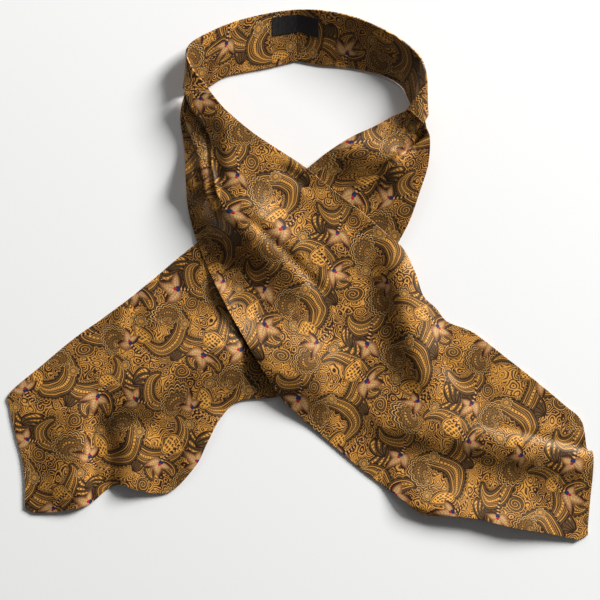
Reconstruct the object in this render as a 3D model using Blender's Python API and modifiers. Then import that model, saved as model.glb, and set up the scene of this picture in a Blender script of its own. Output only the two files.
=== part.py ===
"""Silk day cravat laid out flat, its pleated blades crossed in front of the neckband.

The neckband is two strips seamed at the centre back, inside face up. At each side it rolls over
and ends on the pleats of a blade. The blade from the right lies on the surface, and the blade
from the left crosses over it. A small bare label is sewn inside the band at the centre back.

Frame: +X to the right, +Y towards the back of the neck, +Z up off the surface the cravat lies on.
The origin is the middle of the bounding box, on that surface. Tables are in millimetres.
"""

import bpy
import numpy as np
from mathutils import Vector
from mathutils.bvhtree import BVHTree

MM = 0.001

# Driving sizes, in millimetres
BAND_WALL = 1.8  # folded silk over its interlining
BLADE_WALL = 1.5  # two layers of silk
LABEL_WALL = 1.0
GAP = 0.5  # between cloth that touches
CENTRE_SEAM_GAP = 0.3
LABEL_TURN = 2.1  # the label stands this far off the band's middle surface

# How finely each piece is divided
BAND_STATIONS = 25
BAND_ACROSS = 5
BLADE_STATIONS = 44
FOLD_STEPS = 2  # points on each quarter of a turned fold
LABEL_ALONG = 8
LABEL_ACROSS = 3

# Neckband: each row is a line across the band from its top edge to its lower edge. The rows run
# from the centre back to the side, round the roll, and forward to the stitched end.
BAND_COLUMNS = ("top_x", "top_y", "top_z", "low_x", "low_y", "low_z")
BAND_LEFT = (
    (-4.0, 227.0, 9.0, -4.0, 184.0, 1.0),
    (-22.5, 225.5, 4.0, -28.5, 178.0, 0.9),
    (-44.0, 221.0, 4.5, -47.5, 174.5, 0.9),
    (-62.5, 215.0, 7.5, -65.0, 170.5, 0.9),
    (-79.5, 207.0, 11.0, -78.5, 162.5, 0.9),
    (-90.5, 200.5, 14.0, -88.0, 158.0, 1.0),
    (-95.5, 195.5, 16.0, -95.5, 157.5, 2.0),
    (-97.5, 190.0, 18.0, -99.5, 158.5, 6.5),
    (-96.0, 183.0, 19.0, -100.5, 159.5, 12.0),
    (-91.0, 173.5, 19.5, -99.5, 160.0, 15.5),
    (-84.5, 166.0, 19.5, -98.5, 160.0, 17.0),
    (-76.6, 155.4, 18.9, -98.5, 156.4, 17.6),
)
BAND_RIGHT = (
    (-4.0, 227.0, 9.0, -4.0, 184.0, 1.0),
    (16.0, 225.0, 19.0, 16.0, 180.3, 0.9),
    (41.5, 219.5, 23.5, 38.0, 178.5, 0.9),
    (60.5, 212.0, 25.0, 57.0, 175.0, 0.9),
    (77.5, 203.5, 25.0, 73.5, 170.0, 0.9),
    (91.5, 193.5, 25.5, 86.5, 161.5, 1.0),
    (100.5, 184.5, 24.5, 92.0, 150.5, 1.5),
    (104.0, 175.5, 25.0, 98.0, 138.5, 2.5),
    (105.5, 168.0, 25.5, 105.0, 134.0, 7.0),
    (105.5, 162.5, 25.5, 107.3, 135.5, 13.0),
    (100.0, 155.5, 25.2, 107.0, 135.0, 18.5),
    (94.0, 147.3, 24.4, 105.4, 131.3, 20.8),
    (89.0, 140.6, 23.4, 103.6, 128.0, 21.6),
)

# Blades: each row is a line across the blade from its near edge, where the top layer of its
# pleats starts, to its far edge. The near edge of the over blade carries on the neckline, and that
# of the under blade is the outer one. fold_1 and fold_2 say how far along the line each pleat
# turns under, from 0 to 1, tuck_1 and tuck_2 how far the turned cloth runs back, and pitch the
# height from one layer of cloth to the next. A negative tuck is a pleat that has opened out.
# floor_near and floor_far are the heights of the lowest layer at the two edges.
BLADE_COLUMNS = (
    "near_x", "near_y", "far_x", "far_y", "floor_near", "floor_far",
    "fold_1", "tuck_1", "fold_2", "tuck_2", "pitch",
)
OVER_BLADE = (
    (-77.5, 156.3, -100.5, 156.4, 3.0, 3.2, 0.94, 14.0, 0.97, 13.0, 2.95),
    (-66.3, 142.5, -103.2, 143.0, 4.6, 3.2, 0.74, 17.0, 0.93, 16.0, 3.0),
    (-53.3, 130.3, -103.7, 131.5, 5.5, 2.5, 0.64, 18.0, 0.90, 15.0, 3.0),
    (-37.0, 117.8, -101.5, 118.0, 5.0, 2.0, 0.63, 17.0, 0.88, 14.0, 2.9),
    (-15.5, 104.0, -99.3, 101.0, 4.0, 1.4, 0.73, 15.0, 0.86, 12.0, 2.7),
    (4.5, 91.0, -98.3, 77.0, 3.6, 1.0, 0.765, 10.0, 0.85, 7.0, 2.3),
    (25.5, 74.0, -96.8, 56.0, 3.6, 1.0, 0.76, 1.0, 0.85, -4.0, 1.5),
    (43.5, 60.5, -89.0, 28.0, 3.2, 1.0, 0.72, -12.0, 0.86, -12.0, 0.7),
    (58.5, 48.5, -69.5, -16.5, 2.8, 1.2, 0.66, -18.0, 0.82, -14.0, 0.2),
    (74.0, 34.5, -45.0, -60.5, 2.4, 1.3, 0.58, -20.0, 0.78, -16.0, 0.0),
    (87.0, 22.5, -18.5, -103.0, 2.0, 1.2, 0.50, -20.0, 0.74, -18.0, 0.0),
    (97.0, 2.0, -2.0, -120.0, 1.6, 1.0, 0.44, -20.0, 0.70, -18.0, 0.0),
    (104.0, -17.5, 14.5, -135.0, 1.3, 0.9, 0.40, -20.0, 0.66, -18.0, 0.0),
    (115.0, -28.0, 24.5, -143.5, 1.2, 0.8, 0.39, -20.0, 0.65, -18.0, 0.0),
    (125.0, -39.5, 34.5, -152.0, 1.2, 0.8, 0.38, -20.0, 0.64, -18.0, 0.0),
    (147.5, -49.0, 53.0, -167.5, 1.2, 0.75, 0.36, -20.0, 0.62, -20.0, 0.0),
    (175.0, -70.0, 74.0, -183.0, 1.1, 0.75, 0.34, -20.0, 0.60, -20.0, 0.0),
    (200.5, -90.0, 89.5, -194.5, 1.0, 0.75, 0.34, -20.0, 0.60, -20.0, 0.0),
    (225.5, -111.0, 105.0, -205.0, 1.0, 0.75, 0.34, -20.0, 0.60, -20.0, 0.0),
    (240.0, -124.5, 125.5, -205.5, 1.0, 0.9, 0.34, -18.0, 0.60, -18.0, 0.0),
    (244.5, -148.0, 150.0, -208.0, 1.0, 1.0, 0.34, -14.0, 0.60, -14.0, 0.0),
    (249.5, -151.5, 162.0, -211.0, 1.0, 1.0, 0.34, -13.0, 0.60, -13.0, 0.0),
    (249.5, -168.5, 182.0, -216.0, 0.9, 1.0, 0.34, -10.0, 0.60, -10.0, 0.0),
    (247.5, -192.5, 207.0, -220.0, 0.8, 0.9, 0.34, -6.0, 0.60, -6.0, 0.0),
    (245.5, -214.5, 228.5, -224.5, 0.75, 0.8, 0.34, -2.6, 0.60, -2.6, 0.0),
    (245.5, -222.5, 237.0, -226.5, 0.75, 0.75, 0.34, -1.6, 0.60, -1.6, 0.0),
)
UNDER_BLADE = (
    (105.6, 129.3, 92.0, 145.0, 10.6, 12.2, 0.1, 1.4, 2.2),
    (106.2, 125.2, 88.0, 139.9, 10.2, 12.8, 0.1, 1.8, 2.4),
    (109.0, 118.5, 76.5, 135.2, 10.0, 14.0, 0.1, 2.8, 2.8),
    (109.2, 106.0, 62.0, 127.2, 10.0, 14.0, 0.25, 9.0, 2.0),
    (107.3, 91.0, 42.8, 118.2, 9.0, 13.0, 0.33, 9.0, 1.9),
    (101.0, 71.5, 22.0, 105.3, 6.5, 9.0, 0.4, 5.0, 1.9),
    (92.8, 47.5, 4.5, 91.5, 4.8, 4.0, 0.47, -3.0, 1.2),
    (81.0, 25.0, -15.5, 78.5, 2.2, 1.4, 0.5, -10.0, 0.3),
    (65.5, 0.5, -39.5, 62.0, 0.6, 0.4, 0.52, -16.0, 0.0),
    (43.5, -27.0, -63.5, 45.5, -1.4, -1.4, 0.54, -20.0, 0.0),
    (21.0, -56.0, -88.0, 29.0, -1.4, -1.4, 0.56, -24.0, 0.0),
    (2.0, -81.0, -107.0, 14.0, -0.8, -0.8, 0.58, -26.0, 0.0),
    (-17.5, -103.0, -128.0, -4.0, 0.9, 0.75, 0.6, -26.0, 0.0),
    (-52.5, -107.0, -148.5, -20.5, 1.1, 0.75, 0.6, -24.0, 0.0),
    (-69.0, -122.0, -171.5, -37.5, 1.1, 0.75, 0.6, -24.0, 0.0),
    (-80.5, -143.0, -195.0, -54.0, 1.0, 0.8, 0.6, -24.0, 0.0),
    (-91.0, -163.5, -222.5, -77.0, 0.9, 0.9, 0.6, -24.0, 0.0),
    (-113.0, -185.5, -249.8, -100.5, 0.9, 0.9, 0.6, -24.0, 0.0),
    (-137.0, -184.5, -250.0, -113.0, 1.0, 0.8, 0.6, -20.0, 0.0),
    (-154.0, -179.0, -245.3, -136.0, 1.0, 0.75, 0.6, -16.0, 0.0),
    (-166.0, -183.0, -240.0, -155.0, 0.9, 0.75, 0.6, -12.0, 0.0),
    (-184.0, -197.0, -237.3, -173.5, 0.8, 0.75, 0.6, -8.0, 0.0),
    (-212.0, -202.5, -237.0, -190.0, 0.75, 0.75, 0.6, -4.0, 0.0),
    (-229.5, -203.5, -237.0, -199.5, 0.75, 0.75, 0.6, -1.6, 0.0),
)

# The ridges and troughs of the lying cloth: each runs from start through mid to end and fades out
# at both, with its height (below zero for a trough) and how far it spreads to the left and right
# of its line, as seen from its start.
CREASE_COLUMNS = (
    "start_x", "start_y", "mid_x", "mid_y", "end_x", "end_y", "height", "left", "right",
)
OVER_CREASES = (
    (-118.0, 104.0, -73.0, 61.0, -9.0, -11.0, 14.0, 38.0, 15.0),
    (-70.0, 74.0, -18.0, 22.0, 34.0, -38.0, 8.0, 26.0, 26.0),
    (-62.0, 60.0, -13.0, 19.0, 34.0, -34.0, -3.0, 5.0, 5.0),
    (-80.0, 14.0, -56.0, -48.0, 14.0, -138.0, 6.0, 13.0, 10.0),
    (-50.0, -40.0, -12.0, -76.0, 46.0, -112.0, 12.5, 36.0, 21.0),
    (-14.0, 80.0, 24.0, 46.0, 34.0, 0.0, 4.0, 26.0, 26.0),
    (76.0, 60.0, 91.0, -36.0, 122.0, -128.0, 12.5, 22.0, 17.0),
    (104.0, -66.0, 138.0, -84.0, 180.0, -99.0, -3.0, 8.0, 10.0),
    (36.0, -118.0, 136.0, -138.0, 300.0, -176.0, 8.5, 24.0, 16.0),
    (130.0, -124.0, 205.0, -138.0, 290.0, -160.0, -2.0, 5.0, 5.0),
    (60.0, -182.0, 140.0, -208.0, 262.0, -232.0, 8.0, 22.0, 8.0),
    (-28.0, 94.0, -6.0, 84.0, 14.0, 64.0, -2.0, 5.0, 5.0),
    (-82.0, 140.0, -75.0, 104.0, -64.0, 60.0, -3.5, 7.0, 5.0),
    (-66.0, 146.0, -61.0, 110.0, -63.0, 66.0, 4.0, 22.0, 10.0),
    (-92.0, 172.0, -34.0, 114.0, 22.0, 70.0, 5.0, 10.0, 32.0),
)
UNDER_CREASES = (
    (-16.0, -46.0, -103.0, -82.0, -184.0, -138.0, 14.0, 27.0, 20.0),
    (-171.0, -116.0, -171.0, -158.0, -174.0, -220.0, -4.0, 10.0, 10.0),
    (-190.0, -84.0, -194.0, -150.0, -196.0, -220.0, 8.0, 14.0, 26.0),
    (-147.0, -122.0, -147.0, -162.0, -149.0, -210.0, 7.0, 20.0, 14.0),
    (18.0, 112.0, 62.0, 102.0, 106.0, 88.0, 6.5, 14.0, 17.0),
    (118.0, 162.0, 64.0, 128.0, 0.0, 88.0, -5.0, 8.0, 9.0),
    (108.0, 112.0, 80.0, 80.0, 44.0, 52.0, -3.0, 8.0, 10.0),
    (-133.0, 8.0, -130.0, -28.0, -126.0, -62.0, 2.0, 9.0, 9.0),
    (-159.0, -4.0, -155.0, -38.0, -150.0, -72.0, 2.0, 9.0, 9.0),
    (-64.0, -118.0, -84.0, -140.0, -112.0, -190.0, 4.0, 10.0, 12.0),
)
CREASE_POINTS = 17
CREASE_FADE = 0.32  # share of a crease's length over which it dies away at each end

LANDING = 1.6  # how softly a falling blade comes to lie on what is under it
ROUNDED = 0.42  # share of the shorter side that a fold's rounding takes
OPEN_STEP = 0.33  # share of an opened pleat's width that half of each of its two steps takes
TUCK_SLOPE = 0.15  # the turned cloth of a pleat falls by twice this share of a layer

# The map of the under blade's height, on which the over blade lies
MAP_STEP = 3.0
MAP_MARGIN = 24.0
MAP_SPREAD, MAP_SMOOTH = 4, 4  # steps that the height is carried outwards, and rounds of smoothing
NO_CLOTH = -3.0
RAY_START = 100.0

LEAST_PITCH = 0.01  # keeps a section's slopes finite where its pleats lie quite flat

# Points along each flat run of a blade's section, between its folds
OVER_RUNS = (6, 2, 3, 2, 4)
UNDER_RUNS = (8, 3, 7)

# Label: where its two ends lie along X, and its two long edges, as shares of the band's width
# down from its top edge
LABEL_LEFT_X, LABEL_RIGHT_X = -25.0, 14.5
LABEL_TOP, LABEL_LOW = 0.10, 0.44

MATERIALS = {
    "printed_silk": dict(color=(0.30, 0.19, 0.06, 1.0), roughness=0.42),
    "label_satin": dict(color=(0.02, 0.018, 0.03, 1.0), roughness=0.35),
}


def clear_scene():
    for old in list(bpy.data.objects):
        bpy.data.objects.remove(old, do_unlink=True)


def make_material(name, part, color, roughness):
    material = bpy.data.materials.new(f"{name}_{part}")
    material.use_nodes = True
    shader = material.node_tree.nodes["Principled BSDF"]
    shader.inputs["Base Color"].default_value = color
    shader.inputs["Roughness"].default_value = roughness
    shader.inputs["Metallic"].default_value = 0.0
    return material


def smooth_rows(table, stations):
    """The table's rows read off a smooth curve through them, as an array of stations rows."""
    rows = np.array(table, float)
    ends = np.vstack([2 * rows[0] - rows[1], rows, 2 * rows[-1] - rows[-2]])
    place = np.linspace(0.0, len(rows) - 1.0, stations)
    index = np.minimum(place.astype(int), len(rows) - 2)
    t = (place - index)[:, None]
    before, here, after, beyond = (ends[index + k] for k in range(4))
    slope_here, slope_after = (after - before) / 2, (beyond - here) / 2
    return (
        here * (2 * t**3 - 3 * t**2 + 1)
        + slope_here * (t**3 - 2 * t**2 + t)
        + after * (3 * t**2 - 2 * t**3)
        + slope_after * (t**3 - t**2)
    )


def columns(names, rows):
    """The rows as named columns."""
    return {name: rows[:, i] for i, name in enumerate(names)}


def crease_relief(x, y, creases):
    """Height that the ridges and troughs add at each x, y."""
    relief = np.zeros_like(x)
    share = np.linspace(0.0, 1.0, CREASE_POINTS)
    for values in creases:
        c = dict(zip(CREASE_COLUMNS, values))
        line = []
        for axis in "xy":
            start, end = c[f"start_{axis}"], c[f"end_{axis}"]
            bend = 2 * c[f"mid_{axis}"] - (start + end) / 2
            line.append((1 - share) ** 2 * start + 2 * share * (1 - share) * bend + share**2 * end)
        best = np.full(x.shape, np.inf)
        along = np.zeros_like(x)
        spread = np.ones_like(x)
        for i in range(CREASE_POINTS - 1):
            dx, dy = line[0][i + 1] - line[0][i], line[1][i + 1] - line[1][i]
            off_x, off_y = x - line[0][i], y - line[1][i]
            t = np.clip((off_x * dx + off_y * dy) / (dx * dx + dy * dy), 0.0, 1.0)
            apart = np.hypot(off_x - t * dx, off_y - t * dy)
            nearer = apart < best
            best = np.where(nearer, apart, best)
            along = np.where(nearer, (i + t) / (CREASE_POINTS - 1), along)
            side = np.where(dx * off_y - dy * off_x > 0, c["left"], c["right"])
            spread = np.where(nearer, side, spread)
        fade = np.clip(np.minimum(along, 1.0 - along) / CREASE_FADE, 0.0, 1.0)
        fade = fade * fade * (3.0 - 2.0 * fade)
        relief += c["height"] * fade * np.exp(-((best / spread) ** 2))
    return relief


def pleated_section(row, folds, runs):
    """One line across a blade: each point's share of the way across, and its layer."""
    width = np.hypot(row["far_x"] - row["near_x"], row["far_y"] - row["near_y"])
    layer = 2.0 * folds
    corners = [(0.0, layer)]
    for fold in range(1, folds + 1):
        opening = max(-row[f"tuck_{fold}"], 0.0) / width * OPEN_STEP
        outer = row[f"fold_{fold}"]
        inner = outer - row[f"tuck_{fold}"] / width
        corners += [(outer - opening, layer), (outer + opening, layer - 1 + TUCK_SLOPE)]
        corners += [(inner - opening, layer - 1 - TUCK_SLOPE), (inner + opening, layer - 2)]
        layer -= 2.0
    corners.append((1.0, 0.0))
    corners = np.array(corners)
    scale = np.array([width, max(row["pitch"], LEAST_PITCH)])
    points = [corners[0]]
    for i in range(1, len(corners) - 1):
        lengths = [np.hypot(*((corners[i + k] - corners[i]) * scale)) for k in (-1, 1)]
        cut = ROUNDED * min(lengths)
        start = corners[i] + (corners[i - 1] - corners[i]) * cut / lengths[0]
        stop = corners[i] + (corners[i + 1] - corners[i]) * cut / lengths[1]
        if i % 2:
            run = runs[(i - 1) // 2]
            points += [points[-1] + (start - points[-1]) * k / run for k in range(1, run)]
            points.append(start)
        for k in range(1, FOLD_STEPS + 1):
            t = k / FOLD_STEPS
            points.append((1 - t) ** 2 * start + 2 * t * (1 - t) * corners[i] + t**2 * stop)
    run = runs[-1]
    points += [points[-1] + (corners[-1] - points[-1]) * k / run for k in range(1, run + 1)]
    return np.array(points)


def soft_most(height, floor):
    """The greater of the two, with a soft turn where one takes over from the other."""
    over = height - floor
    turn = np.maximum(over + LANDING, 0.0) ** 2 / (4 * LANDING)
    return floor + np.where(over < LANDING, turn, over)


def blade_surface(table, folds, runs, creases, support=None):
    """The middle surface of a blade, as stations x points x 3. It lies on support where it has to."""
    names = [n for n in BLADE_COLUMNS if folds > 1 or not n.endswith("_2")]
    named = columns(names, smooth_rows(table, BLADE_STATIONS))
    sections = [
        pleated_section({n: named[n][s] for n in names}, folds, runs)
        for s in range(BLADE_STATIONS)
    ]
    share, layer = np.moveaxis(np.array(sections), 2, 0)
    col = {n: v[:, None] for n, v in named.items()}
    x = col["near_x"] + (col["far_x"] - col["near_x"]) * share
    y = col["near_y"] + (col["far_y"] - col["near_y"]) * share
    floor = col["floor_near"] + (col["floor_far"] - col["floor_near"]) * share
    floor = floor + crease_relief(x, y, creases)
    floor = soft_most(floor, BLADE_WALL / 2)
    if support is not None:
        floor = soft_most(floor, support(x, y) + BLADE_WALL + GAP)
    z = floor + np.maximum(layer, 0.0) * np.maximum(col["pitch"], 0.0)
    return np.stack([x, y, z], axis=2)


def neighbours(heights):
    """The four neighbours of each place of the map."""
    padded = np.pad(heights, 1, mode="edge")
    return padded[:-2, 1:-1], padded[2:, 1:-1], padded[1:-1, :-2], padded[1:-1, 2:]


def heights_of(surface):
    """A function giving the softened height of the surface at each x, y, and round its edge."""
    stations, across = surface.shape[:2]
    index = np.arange(stations * across).reshape(stations, across)
    quads = np.stack([index[:-1, :-1], index[:-1, 1:], index[1:, 1:], index[1:, :-1]], axis=2)
    tree = BVHTree.FromPolygons(surface.reshape(-1, 3).tolist(), quads.reshape(-1, 4).tolist())
    low, high = surface.min(axis=(0, 1)) - MAP_MARGIN, surface.max(axis=(0, 1)) + MAP_MARGIN
    places_x, places_y = (np.arange(low[axis], high[axis], MAP_STEP) for axis in (0, 1))
    heights = np.full((len(places_x), len(places_y)), NO_CLOTH)
    for i, j in np.ndindex(heights.shape):
        hit = tree.ray_cast(Vector((places_x[i], places_y[j], RAY_START)), Vector((0, 0, -1)))[0]
        if hit is not None:
            heights[i, j] = hit.z
    for _ in range(MAP_SPREAD):
        heights = np.maximum.reduce([heights, *neighbours(heights)])
    for _ in range(MAP_SMOOTH):
        heights = sum(neighbours(heights)) / 4

    def height(x, y):
        at_x = np.clip((x - low[0]) / MAP_STEP, 0.0, len(places_x) - 1.001)
        at_y = np.clip((y - low[1]) / MAP_STEP, 0.0, len(places_y) - 1.001)
        i, j = at_x.astype(int), at_y.astype(int)
        t, u = at_x - i, at_y - j
        near = heights[i, j] * (1 - t) + heights[i + 1, j] * t
        return near * (1 - u) + (heights[i, j + 1] * (1 - t) + heights[i + 1, j + 1] * t) * u

    return height


def band_surface(table):
    """The middle surface of one half of the neckband, as stations x points x 3."""
    row = columns(BAND_COLUMNS, smooth_rows(table, BAND_STATIONS))
    top = np.stack([row["top_x"], row["top_y"], row["top_z"]], axis=1)[:, None]
    low = np.stack([row["low_x"], row["low_y"], row["low_z"]], axis=1)[:, None]
    across = np.linspace(0.0, 1.0, BAND_ACROSS)[None, :, None]
    surface = top + (low - top) * across
    surface[:, :, 2] = np.maximum(surface[:, :, 2], BAND_WALL / 2)
    return surface


def label_surface(left_half, right_half):
    """The label's middle surface: points of the two band halves, moved out of their face."""
    halves = np.concatenate([left_half[::-1], right_half[1:]])
    grid = np.zeros((LABEL_ALONG, LABEL_ACROSS, 3))
    for i, x in enumerate(np.linspace(LABEL_LEFT_X, LABEL_RIGHT_X, LABEL_ALONG)):
        for j, share in enumerate(np.linspace(LABEL_TOP, LABEL_LOW, LABEL_ACROSS)):
            at = share * (BAND_ACROSS - 1)
            k = min(int(at), BAND_ACROSS - 2)
            line = halves[:, k] + (halves[:, k + 1] - halves[:, k]) * (at - k)
            line = line[np.argsort(line[:, 0])]
            grid[i, j] = (x, np.interp(x, line[:, 0], line[:, 1]), np.interp(x, line[:, 0], line[:, 2]))
    grid[:, :, 2] += LABEL_TURN
    return grid


def cloth_piece(name, grid, wall, finish, collection):
    """A sheet of cloth through the grid's points, made solid half a wall to each side."""
    stations, across = grid.shape[:2]
    mesh = bpy.data.meshes.new(name)
    quads = [
        (s * across + a, (s + 1) * across + a, (s + 1) * across + a + 1, s * across + a + 1)
        for s in range(stations - 1)
        for a in range(across - 1)
    ]
    mesh.from_pydata([tuple(p * MM) for p in grid.reshape(-1, 3)], [], quads)
    mesh.update()
    mesh.shade_smooth()
    piece = bpy.data.objects.new(name, mesh)
    collection.objects.link(piece)
    mesh.materials.append(make_material(finish, name, **MATERIALS[finish]))
    shell = piece.modifiers.new("wall", "SOLIDIFY")
    shell.thickness = wall * MM
    shell.offset = 0.0
    shell.use_even_offset = False
    return piece


def stand_on_origin(pieces):
    """Moves the meshes so that the middle of their bounding box is at X = Y = 0."""
    graph = bpy.context.evaluated_depsgraph_get()
    points = [v.co for p in pieces for v in p.evaluated_get(graph).data.vertices]
    for axis in (0, 1):
        values = [co[axis] for co in points]
        middle = (min(values) + max(values)) / 2
        for piece in pieces:
            for vertex in piece.data.vertices:
                vertex.co[axis] -= middle


def build():
    clear_scene()
    cravat = bpy.data.collections.new("silk_cravat")
    bpy.context.scene.collection.children.link(cravat)

    band_left = band_surface(BAND_LEFT)
    band_right = band_surface(BAND_RIGHT)
    label = label_surface(band_left, band_right)
    band_left[0, :, 0] -= CENTRE_SEAM_GAP / 2
    band_right[0, :, 0] += CENTRE_SEAM_GAP / 2
    under = blade_surface(UNDER_BLADE, 1, UNDER_RUNS, UNDER_CREASES)[:, ::-1]
    over = blade_surface(OVER_BLADE, 2, OVER_RUNS, OVER_CREASES, heights_of(under))

    pieces = [
        cloth_piece("neckband_left", band_left, BAND_WALL, "printed_silk", cravat),
        cloth_piece("neckband_right", band_right, BAND_WALL, "printed_silk", cravat),
        cloth_piece("under_blade", under, BLADE_WALL, "printed_silk", cravat),
        cloth_piece("over_blade", over, BLADE_WALL, "printed_silk", cravat),
        cloth_piece("label", label, LABEL_WALL, "label_satin", cravat),
    ]
    bpy.context.view_layer.update()
    stand_on_origin(pieces)


build()
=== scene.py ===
"""Silk day cravat laid out flat, its pleated blades crossed in front of the neckband.

Frame: +X to the right, +Y towards the back of the neck, +Z up off the surface the cravat lies on.
Tables and pattern sizes are in millimetres and start from the pattern's own zero, which lies
FRAME_X, FRAME_Y from the middle of the object.
"""

import math

import bmesh
import bpy
import numpy as np
from mathutils import Matrix, Vector
from mathutils.bvhtree import BVHTree


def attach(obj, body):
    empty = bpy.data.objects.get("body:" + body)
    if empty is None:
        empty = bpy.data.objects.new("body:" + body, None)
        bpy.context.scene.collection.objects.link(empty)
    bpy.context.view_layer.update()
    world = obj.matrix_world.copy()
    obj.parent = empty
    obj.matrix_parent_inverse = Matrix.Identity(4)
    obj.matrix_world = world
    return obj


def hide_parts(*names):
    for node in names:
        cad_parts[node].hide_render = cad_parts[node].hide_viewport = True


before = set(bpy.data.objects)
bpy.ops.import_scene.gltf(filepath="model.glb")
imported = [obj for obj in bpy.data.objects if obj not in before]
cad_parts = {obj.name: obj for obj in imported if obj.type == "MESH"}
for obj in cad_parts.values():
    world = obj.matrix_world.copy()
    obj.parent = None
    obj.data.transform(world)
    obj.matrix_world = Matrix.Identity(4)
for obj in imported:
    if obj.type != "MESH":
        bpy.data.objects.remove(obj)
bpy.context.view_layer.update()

# ------------------------------------------------------------------------------------------------
# Neckband: two straight strips of the printed silk, folded over a woven interlining and pressed,
# then seamed to each other at the centre back. Each strip rolls over at the side of the neck,
# where its end is turned in and stitched down on the pleats of a blade with gold thread.
# ------------------------------------------------------------------------------------------------
MM = 0.001
FRAME_X, FRAME_Y = 0.668, -0.342
BAND_WALL = 1.8
CENTRE_SEAM_GAP = 0.04
BAND_STATIONS, BAND_ACROSS = 150, 34

# Each row is a line across the band from its top edge to its lower edge. The rows run from the
# centre back to the side, round the roll, and forward to the stitched end.
BAND_COLUMNS = ("top_x", "top_y", "top_z", "low_x", "low_y", "low_z")
BAND_LEFT = (
    (-4.0, 227.0, 9.0, -4.0, 184.0, 1.0),
    (-22.5, 225.5, 4.0, -28.5, 178.0, 0.9),
    (-44.0, 221.0, 4.5, -47.5, 174.5, 0.9),
    (-62.5, 215.0, 7.5, -65.0, 170.5, 0.9),
    (-79.5, 207.0, 11.0, -78.5, 162.5, 0.9),
    (-90.5, 200.5, 14.0, -88.0, 158.0, 1.0),
    (-95.5, 195.5, 16.0, -95.5, 157.5, 2.0),
    (-97.5, 190.0, 18.0, -99.5, 158.5, 6.5),
    (-96.0, 183.0, 19.0, -100.5, 159.5, 12.0),
    (-91.0, 173.5, 19.5, -99.5, 160.0, 15.5),
    (-84.5, 166.0, 19.5, -98.5, 160.0, 17.0),
    (-76.6, 155.4, 18.9, -98.5, 156.4, 17.6),
)
BAND_RIGHT = (
    (-4.0, 227.0, 9.0, -4.0, 184.0, 1.0),
    (16.0, 225.0, 19.0, 16.0, 180.3, 0.9),
    (41.5, 219.5, 23.5, 38.0, 178.5, 0.9),
    (60.5, 212.0, 25.0, 57.0, 175.0, 0.9),
    (77.5, 203.5, 25.0, 73.5, 170.0, 0.9),
    (91.5, 193.5, 25.5, 86.5, 161.5, 1.0),
    (100.5, 184.5, 24.5, 92.0, 150.5, 0.9),
    (104.0, 175.5, 25.0, 98.0, 138.5, 1.4),
    (105.5, 168.0, 24.6, 105.0, 134.0, 7.0),
    (105.5, 162.5, 24.0, 107.3, 135.5, 13.0),
    (100.0, 155.5, 23.4, 107.0, 135.0, 18.0),
    (94.0, 147.3, 22.2, 105.4, 131.3, 19.6),
    (89.0, 140.6, 20.8, 103.6, 128.0, 19.6),
)


def smooth_rows(table, stations):
    """The table's rows read off a smooth curve through them, as an array of stations rows."""
    rows = np.array(table, float)
    ends = np.vstack([2 * rows[0] - rows[1], rows, 2 * rows[-1] - rows[-2]])
    place = np.linspace(0.0, len(rows) - 1.0, stations)
    index = np.minimum(place.astype(int), len(rows) - 2)
    t = (place - index)[:, None]
    before, here, after, beyond = (ends[index + k] for k in range(4))
    slope_here, slope_after = (after - before) / 2, (beyond - here) / 2
    return (
        here * (2 * t**3 - 3 * t**2 + 1)
        + slope_here * (t**3 - 2 * t**2 + t)
        + after * (3 * t**2 - 2 * t**3)
        + slope_after * (t**3 - t**2)
    )


def by_name(names, rows):
    """The rows as named columns."""
    return {name: rows[:, i] for i, name in enumerate(names)}


def run_lengths(points, axis):
    """How far each point lies along the lines of points that run on this axis."""
    steps = np.linalg.norm(np.diff(points, axis=axis), axis=2)
    start = np.zeros_like(np.take(steps, [0], axis=axis))
    return np.concatenate([start, np.cumsum(steps, axis=axis)], axis=axis)


def band_surface(table):
    """The middle surface of one half of the neckband, as stations x points x 3."""
    row = by_name(BAND_COLUMNS, smooth_rows(table, BAND_STATIONS))
    top = np.stack([row["top_x"], row["top_y"], row["top_z"]], axis=1)[:, None]
    low = np.stack([row["low_x"], row["low_y"], row["low_z"]], axis=1)[:, None]
    across = np.linspace(0.0, 1.0, BAND_ACROSS)[None, :, None]
    surface = top + (low - top) * across
    surface[:, :, 2] = np.maximum(surface[:, :, 2], BAND_WALL / 2)
    return surface


def band_cut(surface, start_at):
    """Where each point of a band lies on the flat cloth, in millimetres."""
    along = run_lengths(surface, 0).mean(axis=1, keepdims=True)
    return np.stack(
        [run_lengths(surface, 1), np.broadcast_to(along + start_at, surface.shape[:2])], axis=2
    )


def facing(surface):
    """The unit normal of the surface at each of its points."""
    normal = np.cross(np.gradient(surface, axis=0), np.gradient(surface, axis=1))
    normal /= np.maximum(np.linalg.norm(normal, axis=2, keepdims=True), 1e-9)
    return normal


EDGE_RINGS = (0.06, 0.22, 0.50)  # rows added near each edge, this far in, in millimetres
RING_MOST = 0.9  # share of the way to the next row that a ring may take
EDGE_SQUARENESS = 4  # 2 would round an edge to a half circle
BAKE_MARGIN = 0.005


def with_edge_rings(sheet):
    """The sheet with rows added near all four of its edges."""
    for axis in (0, 1):
        sheet = np.moveaxis(sheet, axis, 0)
        first, last = [], []
        for inset in EDGE_RINGS:
            for rows, edge, inner in ((first, 0, 1), (last, -1, -2)):
                step = sheet[inner] - sheet[edge]
                reach = np.linalg.norm(step[:, :3], axis=1, keepdims=True)
                rows.append(sheet[edge] + step * np.minimum(inset / reach, RING_MOST))
        sheet = np.concatenate([sheet[:1], first, sheet[1:-1], last[::-1], sheet[-1:]])
        sheet = np.moveaxis(sheet, 0, axis)
    return sheet


def edge_distance(count):
    """How far each of count rows lies from the nearer end of the sheet, in millimetres."""
    inset = np.full(count, np.inf)
    near = np.array((0.0,) + EDGE_RINGS)
    inset[: len(near)] = near
    inset[-len(near):] = near[::-1]
    return inset


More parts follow.
